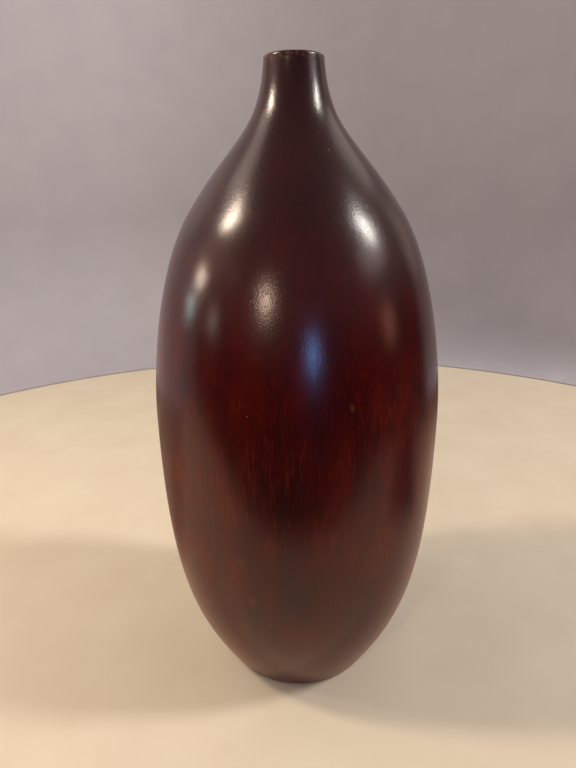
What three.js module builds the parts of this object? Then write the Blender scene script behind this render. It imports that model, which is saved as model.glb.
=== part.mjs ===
// Turned wooden bottle vase, stained dark red and lacquered.
// Two hollowed halves are glued on a spigot at the shoulder. A plug closes the bore through the foot,
// and a felt pad covers it. A glass tube for the water hangs in the neck on a rubber ring, and lifts out.
// Millimetres, +Z up. The origin is on the floor, under the middle of the foot.

import * as THREE from "three";

// Outside: heights from the floor and radii from the axis
const HEIGHT = 380;
const BELLY_HEIGHT = 180;
const SHOULDER_DROP = 78.5; // from the lip down to the shoulder's station
const FOOT_RADIUS = 50;
const BELLY_RADIUS = 88;
const SHOULDER_RADIUS = 60.5;
const LIP_WALL = 4.75; // wood around the recess in the lip
const LIP_ROUND = 1.6;
const LIP_INNER_ROUND = 0.8;
const FOOT_ROUND = 1.2;

// Lean of the outline from the vertical, in degrees: out at the foot, in at the shoulder and lip
const FOOT_LEAN = 31;
const SHOULDER_LEAN = 33.6;
const LIP_LEAN = 4.2;

// Fullness: how long the outline keeps its direction at a station, as a share of that curve's rise
const FOOT_FULLNESS = 0.276;
const BELLY_FULLNESS_BELOW = 0.61;
const BELLY_FULLNESS_ABOVE = 0.247;
const SHOULDER_FULLNESS_BELOW = 0.313;
const SHOULDER_FULLNESS_ABOVE = 0.606;
const LIP_FULLNESS = 0.482;

// Inside of the wood
const WALL = 9;
const FLOOR_THICKNESS = 16; // wood over the felt pad
const FLOOR_COVE = 10; // round between floor and wall
const JOINT_HEIGHT = 236; // glue line between the halves
const SPIGOT_LENGTH = 8;
const GLUE_GAP = 0.2;

// Foot
const FELT_THICKNESS = 2;
const FELT_PROUD = 0.6; // felt standing below the wood
const FOOT_RIM = 6; // wood around the felt pad
const PLUG_RADIUS = 24;
const PLUG_HEAD_STEP = 6;
const PLUG_HEAD_HEIGHT = 6;

// Glass tube, and the rubber ring that it hangs on
const TUBE_RADIUS = 8;
const TUBE_WALL = 1.2;
const TUBE_LENGTH = 150;
const FLANGE_WIDTH = 2.9;
const FLANGE_THICKNESS = 1.8;
const FLANGE_ROUND = 0.6;
const FLANGE_CLEARANCE = 0.6;
const FLANGE_DEPTH = 1; // top of the flange below the lip
const NECK_CLEARANCE = 1.3;
const RING_THICKNESS = 1.5;
const RING_CLEARANCE = 0.4;
const SEAT_GAP = 0.1;

// Number of facets round each piece, and of steps along its curves
const WOOD_SIDES = 60;
const SMALL_SIDES = 36;
const HALF_STEPS = 16;
const CAVITY_STEPS = 11;
const ROUND_STEPS = 4;
const TUBE_END_STEPS = 6;

// Sizes that follow from the ones above
const woodBottom = FELT_PROUD;
const shoulderHeight = HEIGHT - SHOULDER_DROP;
const feltRadius = FOOT_RADIUS - FOOT_RIM;
const cavityFloor = FELT_THICKNESS + FLOOR_THICKNESS;
const plugTop = cavityFloor - GLUE_GAP;
const plugHeadTop = FELT_THICKNESS + PLUG_HEAD_HEIGHT;
const flangeRadius = TUBE_RADIUS + FLANGE_WIDTH;
const recessRadius = flangeRadius + FLANGE_CLEARANCE;
const lipRadius = recessRadius + LIP_WALL;
const neckBoreRadius = TUBE_RADIUS + NECK_CLEARANCE;
const flangeTop = HEIGHT - FLANGE_DEPTH;
const flangeBottom = flangeTop - FLANGE_THICKNESS;
const ringTop = flangeBottom - SEAT_GAP;
const recessFloor = ringTop - RING_THICKNESS;
const tubeBottom = flangeTop - TUBE_LENGTH;
const spigotThickness = (WALL - GLUE_GAP) / 2;

const degrees = THREE.MathUtils.degToRad;
const point = (radius, height) => new THREE.Vector2(radius, height);

// A curve between two stations of the outline. A lean is positive where the outline opens upwards.
function outlineCurve(lower, upper) {
  const rise = upper.height - lower.height;
  const reachLow = lower.fullness * rise;
  const reachHigh = upper.fullness * rise;
  const leanLow = degrees(lower.lean);
  const leanHigh = degrees(upper.lean);
  return new THREE.CubicBezierCurve(
    point(lower.radius, lower.height),
    point(lower.radius + reachLow * Math.sin(leanLow), lower.height + reachLow * Math.cos(leanLow)),
    point(upper.radius - reachHigh * Math.sin(leanHigh), upper.height - reachHigh * Math.cos(leanHigh)),
    point(upper.radius, upper.height),
  );
}

const outline = [
  outlineCurve(
    { radius: FOOT_RADIUS, height: woodBottom, lean: FOOT_LEAN, fullness: FOOT_FULLNESS },
    { radius: BELLY_RADIUS, height: BELLY_HEIGHT, lean: 0, fullness: BELLY_FULLNESS_BELOW },
  ),
  outlineCurve(
    { radius: BELLY_RADIUS, height: BELLY_HEIGHT, lean: 0, fullness: BELLY_FULLNESS_ABOVE },
    {
      radius: SHOULDER_RADIUS,
      height: shoulderHeight,
      lean: -SHOULDER_LEAN,
      fullness: SHOULDER_FULLNESS_BELOW,
    },
  ),
  outlineCurve(
    {
      radius: SHOULDER_RADIUS,
      height: shoulderHeight,
      lean: -SHOULDER_LEAN,
      fullness: SHOULDER_FULLNESS_ABOVE,
    },
    { radius: lipRadius, height: HEIGHT, lean: -LIP_LEAN, fullness: LIP_FULLNESS },
  ),
];

// Radius and slope of the outline at a height, found by halving the curve that holds it
function outlineAt(height) {
  const curve = outline.find((c) => height <= c.v3.y) ?? outline[outline.length - 1];
  let low = 0;
  let high = 1;
  while (high - low > 1e-9) {
    const middle = (low + high) / 2;
    if (curve.getPoint(middle).y < height) low = middle;
    else high = middle;
  }
  const tangent = curve.getTangent(low);
  return { radius: curve.getPoint(low).x, slope: tangent.x / tangent.y };
}

// Inside of the wood: a wall of even thickness, down to the straight bore of the neck
function cavityRadius(height) {
  const { radius, slope } = outlineAt(height);
  return Math.max(neckBoreRadius, radius - WALL * Math.hypot(1, slope));
}

// Evenly spaced heights from one to another, both included
const heights = (from, to, steps) =>
  Array.from({ length: steps + 1 }, (_, i) => from + ((to - from) * i) / steps);

const outside = (from, to, steps) => heights(from, to, steps).map((z) => point(outlineAt(z).radius, z));
const inside = (from, to, steps) => heights(from, to, steps).map((z) => point(cavityRadius(z), z));

// A quarter round about a centre, between two directions in degrees from the outward radius
const roundOff = (radius, height, size, from, to, steps = ROUND_STEPS) =>
  heights(degrees(from), degrees(to), steps).map((a) =>
    point(radius + size * Math.cos(a), height + size * Math.sin(a)),
  );

// A blunted corner: a curve that leaves one point and reaches another, bent towards the corner
const blunt = (from, corner, to) =>
  new THREE.QuadraticBezierCurve(from, corner, to).getPoints(ROUND_STEPS);

// Turned piece: the profile runs anticlockwise, and is closed on itself unless it ends on the axis
function turned(name, profile, sides, material) {
  const start = profile[0];
  const closed = start.x > 0 ? [...profile, start.clone()] : profile;
  const geometry = new THREE.LatheGeometry(closed, sides);
  geometry.rotateX(Math.PI / 2);
  const mesh = new THREE.Mesh(geometry, material);
  mesh.name = name;
  return mesh;
}

const lacqueredWood = new THREE.MeshStandardMaterial({ color: "#4a1812", roughness: 0.28, metalness: 0 });
const bareWood = new THREE.MeshStandardMaterial({ color: "#9a6a42", roughness: 0.7, metalness: 0 });
const blackFelt = new THREE.MeshStandardMaterial({ color: "#23211f", roughness: 0.95, metalness: 0 });
const blackRubber = new THREE.MeshStandardMaterial({ color: "#1b1a1a", roughness: 0.6, metalness: 0 });
const clearGlass = new THREE.MeshStandardMaterial({
  color: "#dfe9e6",
  roughness: 0.05,
  metalness: 0,
  transparent: true,
  opacity: 0.35,
});

// Lower half: foot, belly and the rebate that takes the spigot
function lowerBody() {
  const rebateRadius = cavityRadius(JOINT_HEIGHT) + spigotThickness + GLUE_GAP;
  const rebateFloor = JOINT_HEIGHT - SPIGOT_LENGTH - GLUE_GAP;
  const feltRecessRadius = feltRadius + GLUE_GAP;
  const plugHeadBore = PLUG_RADIUS + PLUG_HEAD_STEP + GLUE_GAP;
  const plugBore = PLUG_RADIUS + GLUE_GAP;
  const coveTop = cavityFloor + FLOOR_COVE;
  const coveRadius = cavityRadius(coveTop);
  const coveCorner = point(cavityRadius(cavityFloor), cavityFloor);
  const edgeTop = woodBottom + FOOT_ROUND;
  return turned(
    "lower_body",
    [
      point(feltRecessRadius, woodBottom),
      ...blunt(
        point(FOOT_RADIUS - FOOT_ROUND, woodBottom),
        point(FOOT_RADIUS, woodBottom),
        point(outlineAt(edgeTop).radius, edgeTop),
      ),
      ...outside(edgeTop, JOINT_HEIGHT, HALF_STEPS).slice(1),
      point(rebateRadius, JOINT_HEIGHT),
      point(rebateRadius, rebateFloor),
      ...inside(rebateFloor, coveTop, CAVITY_STEPS),
      ...blunt(point(coveRadius, coveTop), coveCorner, point(coveCorner.x - FLOOR_COVE, cavityFloor)).slice(1),
      point(plugBore, cavityFloor),
      point(plugBore, plugHeadTop + GLUE_GAP),
      point(plugHeadBore, plugHeadTop + GLUE_GAP),
      point(plugHeadBore, FELT_THICKNESS),
      point(feltRecessRadius, FELT_THICKNESS),
    ],
    WOOD_SIDES,
    lacqueredWood,
  );
}

// Upper half: shoulder, neck and lip, with the spigot below and the recess for the flange above
function upperBody() {
  const spigotInner = cavityRadius(JOINT_HEIGHT);
  const spigotEnd = JOINT_HEIGHT - SPIGOT_LENGTH;
  const roundStart = HEIGHT - LIP_ROUND;
  const roundCentre = outlineAt(roundStart).radius - LIP_ROUND;
  const innerCentre = recessRadius + LIP_INNER_ROUND;
  return turned(
    "upper_body",
    [
      point(spigotInner, spigotEnd),
      point(spigotInner + spigotThickness, spigotEnd),
      point(spigotInner + spigotThickness, JOINT_HEIGHT),
      ...outside(JOINT_HEIGHT, roundStart, HALF_STEPS).slice(0, -1),
      ...roundOff(roundCentre, roundStart, LIP_ROUND, 0, 90),
      ...roundOff(innerCentre, HEIGHT - LIP_INNER_ROUND, LIP_INNER_ROUND, 90, 180),
      point(recessRadius, recessFloor),
      point(neckBoreRadius, recessFloor),
      ...inside(recessFloor, JOINT_HEIGHT, CAVITY_STEPS).slice(1),
    ],
    WOOD_SIDES,
    lacqueredWood,
  );
}

// Plug: a stepped disc glued into the bore through the foot, flush with the felt's recess
function footPlug() {
  return turned(
    "foot_plug",
    [
      point(0, FELT_THICKNESS),
      point(PLUG_RADIUS + PLUG_HEAD_STEP, FELT_THICKNESS),
      point(PLUG_RADIUS + PLUG_HEAD_STEP, plugHeadTop),
      point(PLUG_RADIUS, plugHeadTop),
      point(PLUG_RADIUS, plugTop),
      point(0, plugTop),
    ],
    SMALL_SIDES,
    bareWood,
  );
}

// Felt pad: the disc that the vase stands on
function feltPad() {
  return turned(
    "felt_pad",
    [
      point(0, 0),
      point(feltRadius, 0),
      point(feltRadius, FELT_THICKNESS),
      point(0, FELT_THICKNESS),
    ],
    SMALL_SIDES,
    blackFelt,
  );
}

// Rubber ring: lies in the recess of the lip, under the tube's flange
function seatRing() {
  const outer = recessRadius - GLUE_GAP;
  const inner = TUBE_RADIUS + RING_CLEARANCE;
  return turned(
    "seat_ring",
    [point(inner, recessFloor), point(outer, recessFloor), point(outer, ringTop), point(inner, ringTop)],
    SMALL_SIDES,
    blackRubber,
  );
}

// Glass tube: round end, straight wall and a flange with a rounded rim
function glassLiner() {
  const bore = TUBE_RADIUS - TUBE_WALL;
  const endHeight = tubeBottom + TUBE_RADIUS;
  return turned(
    "glass_liner",
    [
      point(0, tubeBottom),
      ...roundOff(0, endHeight, TUBE_RADIUS, -90, 0, TUBE_END_STEPS).slice(1),
      point(TUBE_RADIUS, flangeBottom),
      ...roundOff(flangeRadius - FLANGE_ROUND, flangeBottom + FLANGE_ROUND, FLANGE_ROUND, -90, 0, 2),
      ...roundOff(flangeRadius - FLANGE_ROUND, flangeTop - FLANGE_ROUND, FLANGE_ROUND, 0, 90, 2),
      ...roundOff(bore + FLANGE_ROUND, flangeTop - FLANGE_ROUND, FLANGE_ROUND, 90, 180, 2),
      ...roundOff(0, endHeight, bore, 0, -90, TUBE_END_STEPS).slice(0, -1),
      point(0, endHeight - bore),
    ],
    SMALL_SIDES,
    clearGlass,
  );
}

const vase = new THREE.Group();
vase.name = "bottle_vase";
const liner = new THREE.Group();
liner.name = "lift_out_liner";
liner.add(glassLiner());
vase.add(lowerBody(), upperBody(), footPlug(), feltPad(), seatRing(), liner);

export default vase;
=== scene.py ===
"""Turned wooden bottle vase, stained dark red and lacquered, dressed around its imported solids.

Two hollow halves of wood are glued at the shoulder. A disc closes the foot, felt covers it, and a glass
tube for the water hangs in the neck on a rubber ring. Sizes are in millimetres, from the floor up, as in the
part's own source. Meshes are in metres.
"""

import bisect
import logging
import math
from dataclasses import dataclass, field
from enum import Enum
from typing import Any

import bmesh
import bpy
from mathutils import Matrix, Vector
from mathutils.geometry import interpolate_bezier


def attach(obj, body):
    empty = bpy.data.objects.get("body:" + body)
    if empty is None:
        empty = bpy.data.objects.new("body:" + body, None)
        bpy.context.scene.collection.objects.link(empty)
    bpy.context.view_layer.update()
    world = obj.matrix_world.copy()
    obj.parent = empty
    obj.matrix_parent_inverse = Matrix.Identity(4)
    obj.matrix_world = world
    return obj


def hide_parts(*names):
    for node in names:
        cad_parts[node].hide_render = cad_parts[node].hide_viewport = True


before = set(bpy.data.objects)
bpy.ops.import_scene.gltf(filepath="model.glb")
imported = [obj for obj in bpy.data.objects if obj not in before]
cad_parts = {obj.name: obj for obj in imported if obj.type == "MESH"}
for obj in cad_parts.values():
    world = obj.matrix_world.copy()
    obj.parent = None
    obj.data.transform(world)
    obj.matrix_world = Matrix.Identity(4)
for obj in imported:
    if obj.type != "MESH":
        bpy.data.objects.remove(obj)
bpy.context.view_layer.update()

log = logging.getLogger("bottle_vase")

Node = bpy.types.Node
Socket = bpy.types.NodeSocket
Source = Node | Socket
Paint = Source | str
Tree = bpy.types.NodeTree
Span = tuple[float, float]
Levels = tuple[Span, ...]
Ramp = tuple[tuple[float, str], ...]

MM = 0.001
WHITE = "#ffffff"

# Sockets of the Mix node when it mixes colours
MIX_A = 6
MIX_B = 7
MIX_RESULT = 2


class Slot(Enum):
    """The record's material slots."""

    LACQUERED_WOOD = "lacquered_wood"
    BARE_WOOD = "bare_wood"
    BLACK_FELT = "black_felt"
    BLACK_RUBBER = "black_rubber"
    CLEAR_GLASS = "clear_glass"


class Body(Enum):
    """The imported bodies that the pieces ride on."""

    VASE = "vase"
    LINER = "liner"


class Texture(Enum):
    """The textures that patterns are made of. The first output of each node is its pattern."""

    NOISE = "TexNoise"
    CELLS = "TexVoronoi"


def linear(code: str) -> tuple[float, float, float, float]:
    """Turn a colour as painters write it into the numbers that light is worked out in.

    Args:
        code: sRGB colour, such as "#4a1812".

    Returns:
        Linear red, green and blue, and an alpha of 1.
    """
    shares = [int(code[i : i + 2], 16) / 255 for i in (1, 3, 5)]
    red, green, blue = [s / 12.92 if s <= 0.04045 else ((s + 0.055) / 1.055) ** 2.4 for s in shares]
    return red, green, blue, 1.0


def add_node(
    tree: Tree,
    kind: str,
    inputs: dict[Any, Any] | None = None,
    stops: tuple[tuple[float, Any], ...] = (),
    **settings: Any,
) -> Node:
    """Add a node, with its settings, the stops of its ramp and its links.

    Args:
        tree: Node tree that takes it.
        kind: Type of the node, without the ShaderNode that it starts with.
        inputs: For each socket a value, an sRGB colour, or what feeds it. A node feeds its first output.
        stops: Places along a colour ramp, and the colours there.
        settings: Properties of the node.

    Returns:
        The new node.
    """
    node = tree.nodes.new("ShaderNode" + kind)
    for name, value in settings.items():
        setattr(node, name, value)
    for place, _ in stops[len(node.color_ramp.elements) :] if stops else ():
        node.color_ramp.elements.new(place)
    for element, (place, colour) in zip(node.color_ramp.elements if stops else (), stops):
        element.position = place
        element.color = linear(colour) if isinstance(colour, str) else colour
    for key, value in (inputs or {}).items():
        source = value.outputs[0] if isinstance(value, Node) else value
        if isinstance(source, Socket):
            tree.links.new(source, node.inputs[key])
        else:
            node.inputs[key].default_value = linear(source) if isinstance(source, str) else source
    return node


@dataclass(frozen=True)
class Pattern:
    """A texture whose marks have a real size, in millimetres, across and along the upright grain."""

    across: float
    along: float
    detail: float = 0.0
    roughness: float = 0.5
    distortion: float = 0.0
    texture: Texture = Texture.NOISE

    def add(self, tree: Tree, place: Socket) -> Node:
        """Add the texture, drawn out along the grain.

        Args:
            tree: Node tree of the material.
            place: Object coordinates.

        Returns:
            The texture's node.
        """
        scale = [1 / (size * MM) for size in (self.across, self.across, self.along)]
        drawn_out = add_node(tree, "Mapping", {"Vector": place, "Scale": scale})
        inputs = {"Vector": drawn_out, "Scale": 1.0}
        if self.texture is Texture.NOISE:
            inputs |= {"Detail": self.detail, "Roughness": self.roughness, "Distortion": self.distortion}
        return add_node(tree, self.texture.value, inputs)


def multiplied(tree: Tree, shares: list[Source | float]) -> Source:
    """Multiply shares, so that a thing shows only as far as each of them lets it.

    Args:
        tree: Node tree that takes the nodes.
        shares: Amounts from 0 to 1.

    Returns:
        Their product.
    """
    whole = shares[0]
    for share in shares[1:]:
        whole = add_node(tree, "Math", {0: whole, 1: share}, operation="MULTIPLY")
    return whole


def laid_over(tree: Tree, colour: Paint, coats: list[tuple[Source, Paint]]) -> Paint:
    """Lay coats of paint over a colour, one after another.

    Args:
        tree: Node tree that takes the nodes.
        colour: The colour below.
        coats: How far each coat covers, from 0 to 1, and its colour.

    Returns:
        The colour that shows.
    """
    for share, paint in coats:
        mixed = add_node(tree, "Mix", {0: share, MIX_A: colour, MIX_B: paint}, data_type="RGBA")
        colour = mixed.outputs[MIX_RESULT]
    return colour


def pale_rays(tree: Tree) -> Node:
    """Give 1 for the rays of the camera and of clear glass, which see the ground pale, and 0 for others."""
    rays = add_node(tree, "LightPath").outputs
    return add_node(
        tree, "Math", {0: rays["Is Camera Ray"], 1: rays["Is Transmission Ray"]}, operation="MAXIMUM"
    )


def between(value: Source, ends: Span, unit: float = 1.0) -> dict[str, Any]:
    """Give the inputs of a range: its value, and where it begins and is full, in the given unit."""
    return {"Value": value, "From Min": ends[0] * unit, "From Max": ends[1] * unit}


@dataclass(frozen=True)
class Finish:
    """The finish of one real material, named for it, on the piece's own coordinates."""

    name: str

    def build(self) -> bpy.types.Material:
        """Make the material round the surface that its own class gives.

        Returns:
            The finished material.
        """
        material = bpy.data.materials.new(self.name)
        material.use_nodes = True
        tree = material.node_tree
        tree.nodes.clear()
        place = add_node(tree, "TexCoord").outputs["Object"]
        shader = add_node(tree, "BsdfPrincipled", self.surface(tree, place))
        add_node(tree, "OutputMaterial", {"Surface": shader})
        return material

    def surface(self, tree: Tree, place: Socket) -> dict[str, Any]:
        """Add the nodes of the finish, and return what goes into the shader's sockets."""
        raise NotImplementedError


@dataclass(frozen=True)
class Chip:
    """A place where the stain is chipped or rubbed through, its size in millimetres, and how bare it is."""

    place: tuple[float, float, float]
    size: float
    depth: float


@dataclass(frozen=True)
class Dash:
    """Thin upright dashes: their colour, the fibre noise where they start and are full, and their depth."""

    colour: str
    noise: Span
    depth: float


@dataclass(frozen=True)
class WoodPatterns:
    """What the layers of the wood's finish share: the height above the floor, in metres, and three noises.

    The fibres are thin and upright, the figure is wide upright bands, and the clouds are soft patches.
    """

    tree: Tree
    place: Socket
    height: Socket
    fibres: Node
    figure: Node
    clouds: Node


@dataclass(frozen=True)
class LacqueredWood(Finish):
    """Hardwood turned with its grain upright, stained dark red and sprayed with a gloss lacquer.

    The stain leaves the wood almost black where it is dense and red where it is open, thin upright dashes
    of both show through, and it is heavier at the foot and the neck. The clear coat gives the sharp lights.
    Its fine orange peel, and its dimples over pores and fibres, make them sparkle. The sanded wood below it
    adds a wide soft glow around them. The edges are rubbed through, and a few chips and scuffs are paler.
    """

    name: str = "lacquered_hardwood"
    fibres: Pattern = Pattern(0.9, 11.0, detail=3.0, roughness=0.55)
    figure: Pattern = Pattern(16.0, 75.0, detail=4.0, roughness=0.55)
    clouds: Pattern = Pattern(42.0, 42.0, detail=3.0, roughness=0.55)
    stains: Ramp = ((0.38, "#360403"), (0.5, "#4a0503"), (0.63, "#5f0e06"))
    figure_share: float = 0.55
    neck_stain: str = "#27060b"
    heavy_stain: Levels = ((0.0, 0.7), (80.0, 0.42), (125.0, 0.1), (150.0, 0.0), (200.0, 0.0), (310.0, 0.9))
    dashes: tuple[Dash, ...] = (Dash("#7c2617", (0.54, 0.7), 0.65), Dash("#1e0202", (0.46, 0.32), 0.7))
    dashes_seen: Levels = ((0.0, 0.05), (95.0, 0.2), (130.0, 0.6), (160.0, 1.0), (205.0, 0.8), (245.0, 0.2))
    dash_patches: Span = (0.38, 0.58)
    dashes_least: float = 0.15
    glow: str = "#ffe0cf"
    glow_level: float = 0.06
    shine_patches: Span = (0.3, 0.7)
    wood_roughness: Span = (0.42, 0.52)
    wood_relief: float = 0.12
    wood_depth: float = 0.2
    index: float = 1.5
    coat: float = 0.95
    coat_roughness: float = 0.215
    coat_relief: float = 0.32
    coat_depth: float = 0.12
    peel: Pattern = Pattern(0.65, 0.9, detail=1.0, roughness=0.55)
    # Real pores are 0.2 mm across. Their dimples are drawn 0.8 mm across, so that they show
    pores: Pattern = Pattern(1.3, 2.3, texture=Texture.CELLS)
    pore_share: float = 0.3
    fibres_in_coat: float = 0.6
    pores_in_coat: float = 0.6
    dust: str = "#b3a08f"
    dust_cells: Pattern = Pattern(17.0, 17.0, texture=Texture.CELLS)
    dust_size: float = 0.42
    dust_depth: float = 0.6
    rubbed_wood: str = "#8a5f45"
    rubbed_edges: Levels = ((0.0, 0.8), (1.6, 0.0), (377.4, 0.0), (379.2, 0.6), (379.85, 0.75), (380.0, 0.25))
    rubs: Pattern = Pattern(2.0, 2.0, detail=3.0, roughness=0.55)
    rubbed: Span = (0.48, 0.64)
    joint_line: str = "#0d0303"
    joint_height: float = 236.0
    joint_width: float = 0.5
    joint_runs: Pattern = Pattern(22.0, 22.0, detail=1.0)
    joint_open: Span = (0.5, 0.62)
    joint_depth: float = 0.7
    chip_amber: str = "#a4641e"
    chip_stretch: float = 0.6
    chip_fray: float = 2.2
    chip_rim: Span = (1.9, 1.3)
    chips: tuple[Chip, ...] = ()

    def surface(self, tree: Tree, place: Socket) -> dict[str, Any]:
        """Add the stained wood and the lacquer over it.

        Args:
            tree: Node tree of the material.
            place: Object coordinates.

        Returns:
            What goes into the shader's sockets.
        """
        height = add_node(tree, "SeparateXYZ", {0: place}).outputs["Z"]
        noises = [noise.add(tree, place) for noise in (self.fibres, self.figure, self.clouds)]
        wood = WoodPatterns(tree, place, height, *noises)
        colour = self.marked(wood, self.dashed(wood, self.stained(wood)))
        smooth, rough = self.wood_roughness
        shine = between(wood.clouds, self.shine_patches) | {"To Min": smooth, "To Max": rough}
        sanded = {"Height": wood.fibres, "Strength": self.wood_relief, "Distance": self.wood_depth * MM}
        skin = self.lacquered(wood)
        peel = {"Height": skin, "Strength": self.coat_relief, "Distance": self.coat_depth * MM}
        return {
            "Base Color": colour,
            "Roughness": add_node(tree, "MapRange", shine),
            "IOR": self.index,
            "Specular IOR Level": self.glow_level,
            "Specular Tint": self.glow,
            "Normal": add_node(tree, "Bump", sanded),
            "Coat Weight": self.coat,
            "Coat Roughness": self.coat_roughness,
            "Coat IOR": self.index,
            "Coat Normal": add_node(tree, "Bump", peel),
        }

    def lacquered(self, wood: WoodPatterns) -> Node:
        """Add the skin of the lacquer: fine orange peel, which sinks a little over fibres and pores.

        Args:
            wood: What the layers share.

        Returns:
            The height of the lacquer.
        """
        dimple = between(self.pores.add(wood.tree, wood.place), (0.0, self.pore_share))
        pores = add_node(wood.tree, "MapRange", dimple, interpolation_type="SMOOTHSTEP")
        skin = self.peel.add(wood.tree, wood.place)
        for mark, share in ((wood.fibres, self.fibres_in_coat), (pores, self.pores_in_coat)):
            skin = add_node(wood.tree, "Math", {0: mark, 1: share, 2: skin}, operation="MULTIPLY_ADD")
        return skin

    def by_height(self, wood: WoodPatterns, levels: Levels) -> Node:
        """Add an amount from 0 to 1 that changes with the height, through levels in millimetres."""
        stops = tuple((level * MM, (amount, amount, amount, 1.0)) for level, amount in levels)
        return add_node(wood.tree, "ValToRGB", {"Fac": wood.height}, stops=stops)

    def stained(self, wood: WoodPatterns) -> Paint:
        """Add the stain: cloudy and streaked with the figure, and heavier at the foot and the neck.

        Args:
            wood: What the layers share.

        Returns:
            The colour of the stained wood.
        """
        clouded = multiplied(wood.tree, [wood.clouds, 1 - self.figure_share])
        taken = {0: wood.figure, 1: self.figure_share, 2: clouded}
        mixed = add_node(wood.tree, "Math", taken, operation="MULTIPLY_ADD")
        stain = add_node(wood.tree, "ValToRGB", {"Fac": mixed}, stops=self.stains)
        return laid_over(wood.tree, stain, [(self.by_height(wood, self.heavy_stain), self.neck_stain)])

    def dashed(self, wood: WoodPatterns, stain: Paint) -> Paint:
        """Add the thin upright dashes of open and dense grain, plain on the belly and faint above it.

        Args:
            wood: What the layers share. The dashes show more in its clouds.
            stain: Colour of the stained wood.

        Returns:
            The colour with its dashes.
        """
        tree = wood.tree
        patch = between(wood.clouds, self.dash_patches) | {"To Min": self.dashes_least}
        seen = self.by_height(wood, self.dashes_seen)
        shown = multiplied(tree, [seen, add_node(tree, "MapRange", patch)])
        coats = []
        for dash in self.dashes:
            grain = between(wood.fibres, dash.noise) | {"To Max": dash.depth}
            coats.append((multiplied(tree, [add_node(tree, "MapRange", grain), shown]), dash.colour))
        return laid_over(tree, stain, coats)

    def marked(self, wood: WoodPatterns, colour: Paint) -> Paint:
        """Add the marks of age: dust, edges rubbed bare, the line of the joint, and chips of amber wood.

        Args:
            wood: What the layers share.
            colour: Colour of the wood.

        Returns:
            The colour with its marks.
        """
        tree = wood.tree
        speck = self.dust_size / self.dust_cells.across
        dust = between(self.dust_cells.add(tree, wood.place), (speck, 0.5 * speck))
        dust |= {"To Max": self.dust_depth}
        rub = between(self.rubs.add(tree, wood.place), self.rubbed)
        edges = self.by_height(wood, self.rubbed_edges)
        coats = [
            (add_node(tree, "MapRange", dust), self.dust),
            (multiplied(tree, [add_node(tree, "MapRange", rub), edges]), self.rubbed_wood),
            (self.joint_seen(wood), self.joint_line),
        ]
        coats += [(self.chipped(wood, chip), self.chip_amber) for chip in self.chips]
        return laid_over(tree, colour, coats)

    def joint_seen(self, wood: WoodPatterns) -> Source:
        """Add the hairline of the joint, which the lacquer bridges along most of its way.

        Args:
            wood: What the layers share.

        Returns:
            How much the line shows, from 0 to 1.
        """
        tree = wood.tree
        apart = add_node(tree, "Math", {0: wood.height, 1: self.joint_height * MM}, operation="SUBTRACT")
        away = add_node(tree, "Math", {0: apart}, operation="ABSOLUTE")
        line = between(away, (0.5 * self.joint_width, 0.0), MM)
        bare = between(self.joint_runs.add(tree, wood.place), self.joint_open)
        bare |= {"To Max": self.joint_depth}
        return multiplied(tree, [add_node(tree, "MapRange", line), add_node(tree, "MapRange", bare)])

    def chipped(self, wood: WoodPatterns, chip: Chip) -> Node:
        """Add a chip, frayed along the fibres.

        Args:
            wood: What the layers share.
            chip: Where it is, its size and its depth.

        Returns:
            How much of the wood shows, from 0 to 1.
        """
        tree = wood.tree
        squeeze = (1.0, 1.0, self.chip_stretch)
        size = chip.size * MM
        middle = tuple(c * s * MM for c, s in zip(chip.place, squeeze))
        squeezed = add_node(tree, "VectorMath", {0: wood.place, 1: squeeze}, operation="MULTIPLY")
        apart = add_node(tree, "VectorMath", {0: squeezed, 1: middle}, operation="DISTANCE").outputs["Value"]
        fray = {0: wood.fibres, 1: self.chip_fray * size, 2: apart}
        frayed = add_node(tree, "Math", fray, operation="MULTIPLY_ADD")
        rim = between(frayed, self.chip_rim, size) | {"To Max": chip.depth}
        return add_node(tree, "MapRange", rim, interpolation_type="SMOOTHSTEP")


@dataclass(frozen=True)
class PlainFinish(Finish):
    """A material without a coat. One fine pattern colours its surface and raises it a little."""

    fine: Pattern
    colours: Ramp | str
    relief: float
    depth: float
    roughness: float
    index: float = 1.5
    sheen: float = 0.0
    clearness: float = 0.0

    def surface(self, tree: Tree, place: Socket) -> dict[str, Any]:
        """Add the colours and the relief.

        Args:
            tree: Node tree of the material.
            place: Object coordinates.

        Returns:
            What goes into the shader's sockets.
        """
        fine = self.fine.add(tree, place)
        colour = self.colours
        if not isinstance(colour, str):
            colour = add_node(tree, "ValToRGB", {"Fac": fine}, stops=colour)
        height = self.height(tree, place, fine)
        raised = {"Height": height, "Strength": self.relief, "Distance": self.depth * MM}
        return {
            "Base Color": colour,
            "Roughness": self.roughness,
            "IOR": self.index,
            "Sheen Weight": self.sheen,
            "Transmission Weight": self.clearness,
            "Normal": add_node(tree, "Bump", raised),
        }

    def height(self, tree: Tree, place: Socket, fine: Node) -> Source:
        """Give the height of the surface, which is that of the fine pattern."""
        return fine


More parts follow.
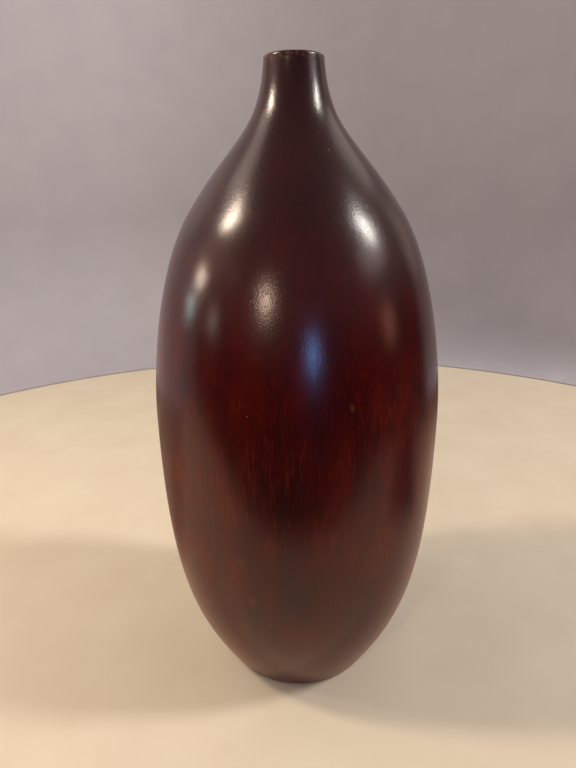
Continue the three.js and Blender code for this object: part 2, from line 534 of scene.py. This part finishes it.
@dataclass(frozen=True)
class BareWood(PlainFinish):
    """The same hardwood, cut on the lathe and left unfinished: pale brown, dull, with fine tool rings."""

    name: str = "bare_hardwood"
    fine: Pattern = Pattern(0.8, 14.0, detail=4.0, roughness=0.6)
    colours: Ramp = ((0.35, "#7c5231"), (0.65, "#a97b52"))
    relief: float = 0.3
    depth: float = 0.1
    roughness: float = 0.72
    tool_pitch: float = 1.6
    tool_drift: float = 0.3

    def height(self, tree: Tree, place: Socket, fine: Node) -> Source:
        """Add the rings that the tool left, in place of the relief of the fibres.

        Args:
            tree: Node tree of the material.
            place: Object coordinates.
            fine: The fibres.

        Returns:
            The height of the surface.
        """
        # The wave repeats 20 times for each turn of its own sine, which is 2 pi long
        scale = 2 * math.pi / (20 * self.tool_pitch * MM)
        turns = {"Vector": place, "Scale": scale, "Distortion": self.tool_drift}
        return add_node(tree, "TexWave", turns, wave_type="BANDS", bands_direction="Z").outputs["Fac"]


@dataclass(frozen=True)
class PressedFelt(PlainFinish):
    """Pressed wool felt, dyed black: matted short fibres that take the light softly, with no gloss."""

    name: str = "black_wool_felt"
    # Wool fibres are 0.02 mm thick. They are drawn as tufts of 0.5 mm, which is what shows
    fine: Pattern = Pattern(0.5, 0.5, detail=5.0, roughness=0.7, distortion=1.2)
    colours: Ramp = ((0.35, "#161514"), (0.7, "#35322f"))
    relief: float = 0.6
    depth: float = 0.3
    roughness: float = 0.95
    sheen: float = 0.25


@dataclass(frozen=True)
class MouldedRubber(PlainFinish):
    """Black nitrile rubber, moulded: nearly black with a low waxy sheen and a faint bloom."""

    name: str = "black_nitrile_rubber"
    fine: Pattern = Pattern(0.6, 0.6, detail=3.0)
    colours: Ramp = ((0.4, "#121212"), (0.75, "#2a2927"))
    relief: float = 0.2
    depth: float = 0.05
    roughness: float = 0.5
    index: float = 1.52


@dataclass(frozen=True)
class ClearGlass(PlainFinish):
    """Borosilicate glass, drawn to a tube and fire polished: clear, faintly green, a little wavy."""

    name: str = "borosilicate_glass"
    fine: Pattern = Pattern(5.0, 60.0, detail=1.0)
    colours: str = "#f1f7f4"
    relief: float = 0.15
    depth: float = 0.2
    roughness: float = 0.02
    index: float = 1.47
    clearness: float = 1.0


@dataclass(frozen=True)
class MattPaint(Finish):
    """Matt paint of the studio, pale and a little mottled."""

    colours: Ramp
    mottle: Pattern = Pattern(60.0, 60.0, detail=4.0)
    roughness: float = 0.8

    def mottled(self, tree: Tree, place: Socket) -> Node:
        """Add the paint's colour, with its soft patches."""
        return add_node(tree, "ValToRGB", {"Fac": self.mottle.add(tree, place)}, stops=self.colours)


@dataclass(frozen=True)
class WallPaint(MattPaint):
    """Matt wall paint, cool and pale, with painted shade that darkens it towards the floor."""

    name: str = "pale_wall_paint"
    colours: Ramp = ((0.3, "#dddde5"), (0.7, "#e3e3ea"))
    # Painted shade: the paint is multiplied by this grey at the low height, fading to no change at the high
    # one
    painted_low_shade: str = "#d6d5d5"
    low: float = 250.0
    high: float = 900.0

    def surface(self, tree: Tree, place: Socket) -> dict[str, Any]:
        """Add the paint, with painted shade low down.

        Args:
            tree: Node tree of the material.
            place: Object coordinates.

        Returns:
            What goes into the shader's sockets.
        """
        height = add_node(tree, "SeparateXYZ", {0: place}).outputs["Z"]
        painted_shade_stops = ((self.low * MM, self.painted_low_shade), (self.high * MM, WHITE))
        rise = add_node(tree, "ValToRGB", {"Fac": height}, stops=painted_shade_stops)
        both = {0: 1.0, MIX_A: self.mottled(tree, place), MIX_B: rise}
        graded = add_node(tree, "Mix", both, data_type="RGBA", blend_type="MULTIPLY")
        return {"Base Color": graded.outputs[MIX_RESULT], "Roughness": self.roughness}


@dataclass(frozen=True)
class Shade:
    """A band of painted shadow on the floor: its middle, half widths and start, in millimetres, and its
    depth.
    """

    middle: float
    across: Span
    along: Span
    depth: float


@dataclass(frozen=True)
class LitFloor(MattPaint):
    """Matt floor paint, pale and warm, that throws light on the vase only where the lamps reach it. This
    light and the dark around it are painted into the colour that all rays but the camera's and clear glass's
    see.
    """

    name: str = "pale_floor_paint"
    colours: Ramp = ((0.3, "#e5dac1"), (0.7, "#ebe2ca"))
    # Painted light and shade: rays other than the camera's and clear glass's see the bounce colour where the
    # lamps reach, fading to this dark colour past the fades and shades
    unlit: str = "#0c0a08"
    bounce: str = "#e4c6ac"
    right_fade: Span = (720.0, 120.0)
    front_fade: Span = (-283.0, -222.0)
    back_fade: Span = (440.0, 260.0)
    back_share: float = 0.3
    # Painted shadows of the vase on the floor, which the belly mirrors as dark stripes
    shades: tuple[Shade, ...] = (
        Shade(-28.0, (98.0, 45.0), (220.0, 300.0), 1.0),
        Shade(190.0, (190.0, 130.0), (-100.0, -190.0), 0.62),
    )

    def surface(self, tree: Tree, place: Socket) -> dict[str, Any]:
        """Add the paint that the camera and clear glass see, and the painted light and shade that the vase
        gets from it.

        Args:
            tree: Node tree of the material.
            place: Object coordinates.

        Returns:
            What goes into the shader's sockets.
        """
        split = add_node(tree, "SeparateXYZ", {0: place}).outputs
        back = between(split["Y"], self.back_fade, MM) | {"To Min": self.back_share}
        lit = [
            self.past(tree, ((split["X"], self.right_fade), (split["Y"], self.front_fade))),
            add_node(tree, "MapRange", back),
            *[self.shaded(tree, split["X"], split["Y"], shade) for shade in self.shades],
        ]
        # Painted light and shade for the vase's rays: the bounce colour where lit, dark elsewhere
        thrown = laid_over(tree, self.unlit, [(multiplied(tree, lit), self.bounce)])
        colour = laid_over(tree, thrown, [(pale_rays(tree), self.mottled(tree, place))])
        return {"Base Color": colour, "Roughness": self.roughness}

    def past(self, tree: Tree, fades: tuple[tuple[Source, Span], ...]) -> Source:
        """Add an amount that rises softly to 1 where each way along the floor is past its fade.

        Args:
            tree: Node tree of the material.
            fades: Ways in metres, and where the fade along each starts and ends, in millimetres.

        Returns:
            The amount, from 0 to 1.
        """
        ranges = [between(way, ends, MM) for way, ends in fades]
        soft = [add_node(tree, "MapRange", ends, interpolation_type="SMOOTHSTEP") for ends in ranges]
        return multiplied(tree, soft)

    def shaded(self, tree: Tree, right: Socket, back: Socket, shade: Shade) -> Node:
        """Paint a deeper shadow where the vase throws one to one side, which the belly mirrors as a dark
        stripe.

        Args:
            tree: Node tree of the material.
            right: Place on the floor towards the right, in metres.
            back: Place on the floor towards the back, in metres.
            shade: Where the shadow lies.

        Returns:
            The light that is left there, from 0 to 1.
        """
        aside = add_node(tree, "Math", {0: back, 1: shade.middle * MM}, operation="SUBTRACT")
        away = add_node(tree, "Math", {0: aside}, operation="ABSOLUTE")
        covered = self.past(tree, ((away, shade.across), (right, shade.along)))
        dimmed = {0: covered, 1: -shade.depth, 2: 1.0}
        return add_node(tree, "Math", dimmed, operation="MULTIPLY_ADD")


def make_object(name: str, shape: bmesh.types.BMesh, *materials: bpy.types.Material) -> bpy.types.Object:
    """Make a smooth object of a finished shape, at the origin, and free the shape.

    Args:
        name: Name of the object and its mesh.
        shape: Its shape, with its place in it, in metres.
        materials: Its finishes, the one that all faces start with first.

    Returns:
        The new object.
    """
    for face in shape.faces:
        face.smooth = True
    mesh = bpy.data.meshes.new(name)
    shape.to_mesh(mesh)
    shape.free()
    for material in materials:
        mesh.materials.append(material)
    made = bpy.data.objects.new(name, mesh)
    bpy.context.scene.collection.objects.link(made)
    return made


@dataclass(frozen=True)
class Corner:
    """A point of a turned profile, in millimetres, with the round that blunts it."""

    radius: float
    height: float
    round: float = 0.0


@dataclass(frozen=True)
class Station:
    """A level of the outline: its lean outwards in degrees, and its fullness below and above.

    Fullness is the share of the way to the next level along which the curve keeps its direction.
    """

    radius: float
    height: float
    lean: float = 0.0
    fullness_below: float = 0.0
    fullness_above: float = 0.0


@dataclass
class Turning:
    """A piece made on the lathe: a profile of corners that is spun round the vase's axis."""

    name: str
    profile: list[Corner]
    sides: int
    round_steps: int = 4
    sharp_angle: float = 35.0
    clean_distance: float = 1e-6

    def build(self, *materials: bpy.types.Material) -> bpy.types.Object:
        """Round the profile's corners, spin it and make it an object.

        Args:
            materials: Its finishes, the outer one first.

        Returns:
            The piece, at the origin, with its place in its mesh.
        """
        shape = bmesh.new()
        points = [shape.verts.new((c.radius * MM, 0.0, c.height * MM)) for c in self.profile]
        for lower, upper in zip(points, points[1:]):
            shape.edges.new((lower, upper))
        if self.profile[0].radius > 0:
            shape.edges.new((points[-1], points[0]))
        for point, corner in zip(points, self.profile):
            if corner.round > 0:
                bmesh.ops.bevel(
                    shape,
                    geom=[point],
                    offset=corner.round * MM,
                    offset_type="OFFSET",
                    segments=self.round_steps,
                    profile=0.5,
                    affect="VERTICES",
                    material=-1,
                )
        bmesh.ops.spin(
            shape,
            geom=[*shape.verts, *shape.edges],
            cent=(0.0, 0.0, 0.0),
            axis=(0.0, 0.0, 1.0),
            angle=2 * math.pi,
            steps=self.sides,
            use_merge=True,
        )
        bmesh.ops.remove_doubles(shape, verts=shape.verts, dist=self.clean_distance)
        bmesh.ops.recalc_face_normals(shape, faces=shape.faces)
        piece = make_object(self.name, shape, *materials)
        piece.data.set_sharp_from_angle(angle=math.radians(self.sharp_angle))
        return piece


def place_piece(piece: bpy.types.Object, body: Body, node: str) -> None:
    """Put a piece on its body, in place of the CAD node that it stands for.

    Args:
        piece: The finished piece.
        body: Body that it moves with.
        node: CAD node that it replaces.
    """
    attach(piece, body.value)
    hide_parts(node)
    sides = [len(face.vertices) - 2 for face in piece.data.polygons]
    log.info("%s: %d triangles, on %s, for %s", piece.name, sum(sides), body.value, node)


@dataclass
class VaseOutline:
    """The outside of the wood, from the foot to the lip, and the even wall inside it."""

    height: float = 380.0
    foot: Station = Station(50.0, 0.6, lean=31.0, fullness_above=0.276)
    belly: Station = Station(88.0, 180.0, fullness_below=0.61, fullness_above=0.247)
    shoulder: Station = Station(60.5, 301.5, lean=-33.6, fullness_below=0.313, fullness_above=0.606)
    lip: Station = Station(16.25, 380.0, lean=-4.2, fullness_below=0.482)
    wall: float = 9.0
    neck_bore: float = 9.3
    curve_steps: int = 400
    slope_step: float = 0.5
    traced: list[Span] = field(default_factory=list)

    def __post_init__(self) -> None:
        """Trace the outline once, as heights and radii."""
        stations = (self.foot, self.belly, self.shoulder, self.lip)
        for lower, upper in zip(stations, stations[1:]):
            rise = upper.height - lower.height
            ends = [Vector((s.radius, s.height, 0.0)) for s in (lower, upper)]
            reaches = (lower.fullness_above * rise, upper.fullness_below * rise)
            leans = [math.radians(s.lean) for s in (lower, upper)]
            arms = [Vector((r * math.sin(a), r * math.cos(a), 0.0)) for r, a in zip(reaches, leans)]
            bends = (ends[0] + arms[0], ends[1] - arms[1])
            curve = interpolate_bezier(ends[0], *bends, ends[1], self.curve_steps)
            self.traced += [(point.y, point.x) for point in curve]

    def radius_at(self, height: float) -> float:
        """Find the outside radius at a height.

        Args:
            height: Height above the floor, in millimetres.

        Returns:
            The radius, in millimetres.
        """
        above = bisect.bisect_left(self.traced, (height, 0.0), 1, len(self.traced) - 1)
        (low, low_radius), (high, high_radius) = self.traced[above - 1], self.traced[above]
        share = (height - low) / (high - low) if high > low else 0.0
        return low_radius + share * (high_radius - low_radius)

    def cavity_at(self, height: float) -> float:
        """Find the radius of the hollow at a height.

        Args:
            height: Height above the floor, in millimetres.

        Returns:
            The radius, in millimetres.
        """
        top = min(height + self.slope_step, self.height)
        bottom = max(height - self.slope_step, self.foot.height)
        slope = (self.radius_at(top) - self.radius_at(bottom)) / (top - bottom)
        return max(self.neck_bore, self.radius_at(height) - self.wall * math.hypot(1.0, slope))

    def run(self, start: float, end: float, steps: int, inside: bool = False) -> list[Corner]:
        """Follow the outside or the hollow between two heights.

        Args:
            start: Height of the first point, in millimetres.
            end: Height of the last point, in millimetres.
            steps: Number of steps between them.
            inside: Whether to follow the hollow.

        Returns:
            The points in order, both ends included.
        """
        find = self.cavity_at if inside else self.radius_at
        heights = [start + (end - start) * i / steps for i in range(steps + 1)]
        return [Corner(find(z), z) for z in heights]


@dataclass
class WoodenBody:
    """The turned wood: a lower half with the foot and belly, and an upper half with shoulder and neck."""

    outline: VaseOutline
    sides: int = 192
    joint_height: float = 236.0
    spigot_length: float = 8.0
    glue_gap: float = 0.2
    joint_fine: float = 0.5
    joint_steps: int = 2
    edge: float = 0.3
    foot_round: float = 1.2
    felt_recess: float = 44.2
    felt_top: float = 2.0
    floor_height: float = 18.0
    floor_cove: float = 10.0
    cove_clear: float = 1.3
    disc_bore: float = 24.2
    disc_head_bore: float = 30.2
    disc_head_top: float = 8.2
    lip_round: float = 1.6
    lip_inner_round: float = 0.8
    recess_radius: float = 11.5
    recess_floor: float = 375.6
    recess_edge: float = 0.15
    neck_lead: float = 2.0
    lower_steps: int = 118
    lower_hollow_steps: int = 50
    upper_steps: int = 84
    upper_hollow_steps: int = 56
    skin: float = 0.4
    lip_skin: float = 0.2
    # Angle right of the front, height, size and depth of each chip and scuff
    chips: tuple[tuple[float, float, float, float], ...] = (
        (27.4, 331.5, 1.2, 0.4),
        (18.8, 210.0, 2.0, 0.2),
        (-18.5, 91.5, 4.2, 0.12),
        (-21.0, 118.0, 3.6, 0.09),
    )

    def build(self) -> None:
        """Turn both halves, lacquer their outsides and leave the insides bare."""
        bare = BareWood().build()
        lacquered = LacqueredWood(chips=self.chip_places()).build()
        for turning, node in ((self.lower_half(), "lower_body"), (self.upper_half(), "upper_body")):
            half = turning.build(lacquered, bare)
            self.bare_inside(half)
            place_piece(half, Body.VASE, node)

    def chip_places(self) -> tuple[Chip, ...]:
        """Put the chips on the surface.

        Returns:
            The chips, with their places in millimetres.
        """
        places = []
        for angle, height, size, depth in self.chips:
            turn = math.radians(angle)
            radius = self.outline.radius_at(height)
            places.append(Chip((radius * math.sin(turn), -radius * math.cos(turn), height), size, depth))
        return tuple(places)

    def lower_half(self) -> Turning:
        """Draw the foot and belly, with the rebate above and the bore and felt recess below.

        Returns:
            The turning, its profile from the felt's recess up the outside and down the hollow.
        """
        outline = self.outline
        bottom = outline.foot.height
        spigot = (outline.wall - self.glue_gap) / 2
        rebate = outline.cavity_at(self.joint_height) + spigot + self.glue_gap
        rebate_floor = self.joint_height - self.spigot_length - self.glue_gap
        cove_top = self.floor_height + self.cove_clear * self.floor_cove
        # The round of the foot and the fine steps at the joint replace the outside's end points
        profile = [
            Corner(self.felt_recess, bottom, self.edge),
            Corner(outline.foot.radius, bottom, self.foot_round),
            *outline.run(bottom, self.joint_height, self.lower_steps)[2:-1],
            *outline.run(self.joint_height - self.joint_fine, self.joint_height, self.joint_steps),
            Corner(rebate, self.joint_height),
            Corner(rebate, rebate_floor),
            *outline.run(rebate_floor, cove_top, self.lower_hollow_steps, inside=True),
            Corner(outline.cavity_at(self.floor_height), self.floor_height, self.floor_cove),
            Corner(self.disc_bore, self.floor_height, self.edge),
            Corner(self.disc_bore, self.disc_head_top),
            Corner(self.disc_head_bore, self.disc_head_top),
            Corner(self.disc_head_bore, self.felt_top, self.edge),
            Corner(self.felt_recess, self.felt_top),
        ]
        return Turning("lower_half", profile, self.sides)

    def upper_half(self) -> Turning:
        """Draw the shoulder and neck, with the spigot below and the lip's recess above.

        Returns:
            The turning, its profile from the spigot up the outside and down the hollow.
        """
        outline = self.outline
        spigot_inner = outline.cavity_at(self.joint_height)
        spigot_outer = spigot_inner + (outline.wall - self.glue_gap) / 2
        spigot_end = self.joint_height - self.spigot_length
        lip_radius = outline.radius_at(outline.height - self.lip_round)
        neck_top = self.recess_floor - self.neck_lead
        profile = [
            Corner(spigot_inner, spigot_end, self.edge),
            Corner(spigot_outer, spigot_end, self.edge),
            Corner(spigot_outer, self.joint_height),
            *outline.run(self.joint_height, self.joint_height + self.joint_fine, self.joint_steps),
            *outline.run(self.joint_height, outline.height, self.upper_steps)[1:-2],
            Corner(lip_radius, outline.height, self.lip_round),
            Corner(self.recess_radius, outline.height, self.lip_inner_round),
            Corner(self.recess_radius, self.recess_floor, self.recess_edge),
            Corner(outline.neck_bore, self.recess_floor, self.edge),
            *outline.run(neck_top, self.joint_height, self.upper_hollow_steps, inside=True),
        ]
        return Turning("upper_half", profile, self.sides)

    def bare_inside(self, half: bpy.types.Object) -> None:
        """Give bare wood to the faces below the outer skin, apart from the lip and its recess.

        Args:
            half: One of the halves, with lacquer first and bare wood second.
        """
        for face in half.data.polygons:
            height = face.center.z / MM
            radius = math.hypot(face.center.x, face.center.y) / MM
            on_skin = radius > self.outline.radius_at(height) - self.skin
            on_lip = height > self.recess_floor - self.lip_skin
            under_foot = height < self.outline.foot.height + self.foot_round and radius > self.felt_recess
            face.material_index = 0 if on_skin or on_lip or under_foot else 1


@dataclass
class FootClosure:
    """What closes the foot: a stepped disc of wood in the bore, and the felt that the vase stands on."""

    disc_radius: float = 24.0
    disc_head_radius: float = 30.0
    disc_head_top: float = 8.0
    disc_top: float = 17.8
    disc_edge: float = 0.4
    felt_radius: float = 44.0
    felt_thickness: float = 2.0
    felt_edge: float = 0.5
    sides: int = 96

    def build(self) -> None:
        """Make the disc and the felt."""
        disc_profile = [
            Corner(0.0, self.felt_thickness),
            Corner(self.disc_head_radius, self.felt_thickness, self.disc_edge),
            Corner(self.disc_head_radius, self.disc_head_top, self.disc_edge),
            Corner(self.disc_radius, self.disc_head_top),
            Corner(self.disc_radius, self.disc_top, self.disc_edge),
            Corner(0.0, self.disc_top),
        ]
        felt_profile = [
            Corner(0.0, 0.0),
            Corner(self.felt_radius, 0.0, self.felt_edge),
            Corner(self.felt_radius, self.felt_thickness, self.felt_edge),
            Corner(0.0, self.felt_thickness),
        ]
        disc = Turning("foot_disc", disc_profile, self.sides).build(BareWood("bare_hardwood_disc").build())
        place_piece(disc, Body.VASE, "foot_plug")
        felt = Turning("felt_disc", felt_profile, self.sides).build(PressedFelt().build())
        place_piece(felt, Body.VASE, "felt_pad")


@dataclass
class WaterTube:
    """The glass tube that holds the water, and the rubber ring in the lip that its flange rests on."""

    tube_radius: float = 8.0
    tube_wall: float = 1.2
    tube_bottom: float = 229.0
    flange_radius: float = 10.9
    flange_bottom: float = 377.2
    flange_top: float = 379.0
    flange_round: float = 0.6
    flange_fillet: float = 0.3
    ring_inner: float = 8.4
    ring_outer: float = 11.3
    ring_bottom: float = 375.6
    ring_top: float = 377.1
    ring_round: float = 0.45
    end_steps: int = 12
    sides: int = 96

    def build(self) -> None:
        """Make the ring and the tube."""
        ring_profile = [
            Corner(self.ring_inner, self.ring_bottom, self.ring_round),
            Corner(self.ring_outer, self.ring_bottom, self.ring_round),
            Corner(self.ring_outer, self.ring_top, self.ring_round),
            Corner(self.ring_inner, self.ring_top, self.ring_round),
        ]
        ring = Turning("rubber_ring", ring_profile, self.sides).build(MouldedRubber().build())
        place_piece(ring, Body.VASE, "seat_ring")
        tube = Turning("glass_tube", self.tube_profile(), self.sides).build(ClearGlass().build())
        place_piece(tube, Body.LINER, "glass_liner")

    def tube_profile(self) -> list[Corner]:
        """Draw the tube's section.

        Returns:
            Its corners, up the outside and down the inside.
        """
        bore = self.tube_radius - self.tube_wall
        end = self.tube_bottom + self.tube_radius
        turns = [math.radians(90 * i / self.end_steps) for i in range(self.end_steps + 1)]
        outer_end, inner_end = (
            [Corner(radius * math.sin(turn), end - radius * math.cos(turn)) for turn in turns]
            for radius in (self.tube_radius, bore)
        )
        return [
            *outer_end,
            Corner(self.tube_radius, self.flange_bottom, self.flange_fillet),
            Corner(self.flange_radius, self.flange_bottom, self.flange_round),
            Corner(self.flange_radius, self.flange_top, self.flange_round),
            Corner(bore, self.flange_top, self.flange_round),
            *reversed(inner_end),
        ]


@dataclass(frozen=True)
class Lamp:
    """A round or upright oval lamp, by where the vase sees it: its angle right of the front and elevation.

    Angles are in degrees. Its width and its distance are in metres, and upright is its height over its width.
    """

    name: str
    angle: float
    elevation: float
    across: float
    watts: float
    colour: str
    distance: float = 0.9
    upright: float = 1.0

    def build(self, target: Vector) -> None:
        """Hang the lamp and aim it.

        Args:
            target: Point of the vase that it shines on, in metres.
        """
        turn = math.radians(self.angle)
        rise = math.radians(self.elevation)
        towards = Vector((math.sin(turn) * math.cos(rise), -math.cos(turn) * math.cos(rise), math.sin(rise)))
        data = bpy.data.lights.new(self.name, "AREA")
        data.shape = "ELLIPSE"
        data.size = self.across
        data.size_y = self.across * self.upright
        data.energy = self.watts
        data.color = linear(self.colour)[:3]
        lamp = bpy.data.objects.new(self.name, data)
        lamp.location = target + self.distance * towards
        lamp.rotation_euler = towards.to_track_quat("Z", "Y").to_euler()
        lamp.visible_camera = False
        bpy.context.scene.collection.objects.link(lamp)


@dataclass
class Studio:
    """Plain pale floor and round sweep, soft lamps, and the camera at the photograph's angle."""

    floor_reach: float = 1500.0
    floor_sides: int = 96
    sweep_radius: float = 950.0
    sweep_cove: float = 250.0
    cove_steps: int = 12
    sweep_lift: float = 1.0
    sweep_height: float = 1500.0
    sweep_start: float = 25.0
    sweep_end: float = 180.0
    sweep_front: float = 120.0
    sweep_sides: int = 48
    clean_distance: float = 1e-5
    room_dim: Ramp = ((0.02, "#12100f"), (0.25, "#73696c"), (0.8, "#7d7474"))
    room_seen: str = "#cfcac6"
    camera_back: float = 349.3
    camera_height: float = 316.3
    camera_pitch: float = 19.18
    camera_yaw: float = 0.898
    camera_roll: float = -0.782
    camera_near: float = 10.0
    camera_far: float = 20000.0
    lens: float = 27.19
    sensor: float = 36.0
    aim: float = 280.0
    lamps: tuple[Lamp, ...] = (
        Lamp("lamp_left", -82.5, 43.0, 0.118, 4.45, "#ffe8cf", upright=1.72),
        Lamp("lamp_left_glow", -107.0, 51.0, 0.3, 0.45, "#ffe9dc"),
        Lamp("lamp_left_halo", -127.0, 27.0, 0.3, 0.08, "#ffcab4", upright=1.2),
        Lamp("lamp_left_tail", -74.0, 24.0, 0.8, 0.25, "#ffd0b8", upright=0.28),
        Lamp("lamp_right", 83.5, 38.2, 0.355, 31.0, "#fff8f1", distance=2.55, upright=2.3),
        Lamp("lamp_right_glow", 130.0, 44.0, 0.4, 0.38, "#fff1e6"),
        Lamp("lamp_right_halo", 122.0, 16.0, 0.3, 0.1, "#ffe9d8", upright=1.3),
        Lamp("lamp_right_tail", 74.0, 26.0, 0.45, 0.44, "#fbf1f1", upright=0.5),
        Lamp("lamp_front_left", -24.0, 17.0, 0.08, 1.15, "#ffe0c6"),
        Lamp("lamp_front_blue", 11.8, 0.9, 0.072, 0.6, "#78b0ff", upright=1.9),
        Lamp("lamp_low_left", -87.0, 14.0, 0.05, 0.85, "#ffe6cc"),
        Lamp("lamp_low_left_cool", -93.0, 4.5, 0.05, 0.25, "#d2f4ec"),
        Lamp("lamp_low_left_faint", -67.0, 5.5, 0.07, 0.14, "#f0e4dc"),
        Lamp("lamp_low_right_faint", 75.0, 3.0, 0.17, 0.24, "#ff9c84"),
    )

    def build(self) -> None:
        """Set up the floor and sweep, the lamps, the world and the camera."""
        self.build_floor()
        self.build_sweep()
        target = Vector((0.0, 0.0, self.aim * MM))
        for lamp in self.lamps:
            lamp.build(target)
        self.build_world()
        self.build_camera()
        bpy.context.scene.view_settings.view_transform = "Standard"

    def set_stage(self, name: str, shape: bmesh.types.BMesh, finish: Finish) -> None:
        """Make a part of the stage, which is no part of the vase.

        Args:
            name: Its name.
            shape: Its shape, in metres.
            finish: Its paint.
        """
        ground = make_object(name, shape, finish.build())
        log.info("%s: %d faces", name, len(ground.data.polygons))

    def build_floor(self) -> None:
        """Lay the floor, a wide disc."""
        shape = bmesh.new()
        reach = self.floor_reach * MM
        bmesh.ops.create_circle(shape, cap_ends=True, segments=self.floor_sides, radius=reach)
        self.set_stage("pale_floor", shape, LitFloor())

    def build_sweep(self) -> None:
        """Spin the wall and its cove round the back of the vase, and draw its left end forward."""
        shape = bmesh.new()
        cove = self.sweep_cove
        flat = self.sweep_radius - cove
        level = self.sweep_lift + cove
        turns = [math.radians(90 * i / self.cove_steps) for i in range(self.cove_steps + 1)]
        bend = [(flat + cove * math.sin(a), level - cove * math.cos(a)) for a in turns]
        chain = [*bend, (self.sweep_radius, self.sweep_height)]
        points = [shape.verts.new((r * MM, 0.0, z * MM)) for r, z in chain]
        edges = [shape.edges.new(pair) for pair in zip(points, points[1:])]
        start = math.radians(self.sweep_start)
        bmesh.ops.rotate(shape, verts=points, cent=(0.0, 0.0, 0.0), matrix=Matrix.Rotation(start, 3, "Z"))
        last = bmesh.ops.spin(
            shape,
            geom=[*points, *edges],
            cent=(0.0, 0.0, 0.0),
            axis=(0.0, 0.0, 1.0),
            angle=math.radians(self.sweep_end) - start,
            steps=self.sweep_sides,
        )["geom_last"]
        ends = [e for e in last if isinstance(e, bmesh.types.BMEdge)]
        drawn = bmesh.ops.extrude_edge_only(shape, edges=ends)["geom"]
        bmesh.ops.translate(
            shape,
            verts=[v for v in drawn if isinstance(v, bmesh.types.BMVert)],
            vec=(0.0, -self.sweep_front * MM, 0.0),
        )
        bmesh.ops.remove_doubles(shape, verts=shape.verts, dist=self.clean_distance)
        bmesh.ops.recalc_face_normals(shape, faces=shape.faces)
        self.set_stage("pale_sweep", shape, WallPaint())

    def build_world(self) -> None:
        """Make the room: dim above and dark low down, but pale for the camera and clear glass."""
        world = bpy.data.worlds.new("room")
        world.use_nodes = True
        tree = world.node_tree
        tree.nodes.clear()
        facing = add_node(tree, "TexCoord").outputs["Generated"]
        up = add_node(tree, "SeparateXYZ", {0: facing}).outputs["Z"]
        dim = add_node(tree, "ValToRGB", {"Fac": up}, stops=self.room_dim)
        colour = laid_over(tree, dim, [(pale_rays(tree), self.room_seen)])
        room = add_node(tree, "Background", {"Color": colour, "Strength": 1.0})
        add_node(tree, "OutputWorld", {"Surface": room})
        bpy.context.scene.world = world

    def build_camera(self) -> None:
        """Put the camera where the photograph was taken from."""
        data = bpy.data.cameras.new("camera")
        data.lens = self.lens
        data.sensor_width = self.sensor
        data.clip_start = self.camera_near * MM
        data.clip_end = self.camera_far * MM
        camera = bpy.data.objects.new("camera", data)
        camera.location = (0.0, -self.camera_back * MM, self.camera_height * MM)
        turn = (
            Matrix.Rotation(math.radians(self.camera_yaw), 3, "Z")
            @ Matrix.Rotation(math.radians(90.0 - self.camera_pitch), 3, "X")
            @ Matrix.Rotation(math.radians(self.camera_roll), 3, "Z")
        )
        camera.rotation_euler = turn.to_euler()
        bpy.context.scene.collection.objects.link(camera)
        bpy.context.scene.camera = camera


def main() -> None:
    """Build the vase and its studio."""
    logging.basicConfig(level=logging.INFO, format="%(message)s")
    WoodenBody(VaseOutline()).build()
    FootClosure().build()
    WaterTube().build()
    Studio().build()


if __name__ == "__main__":
    main()
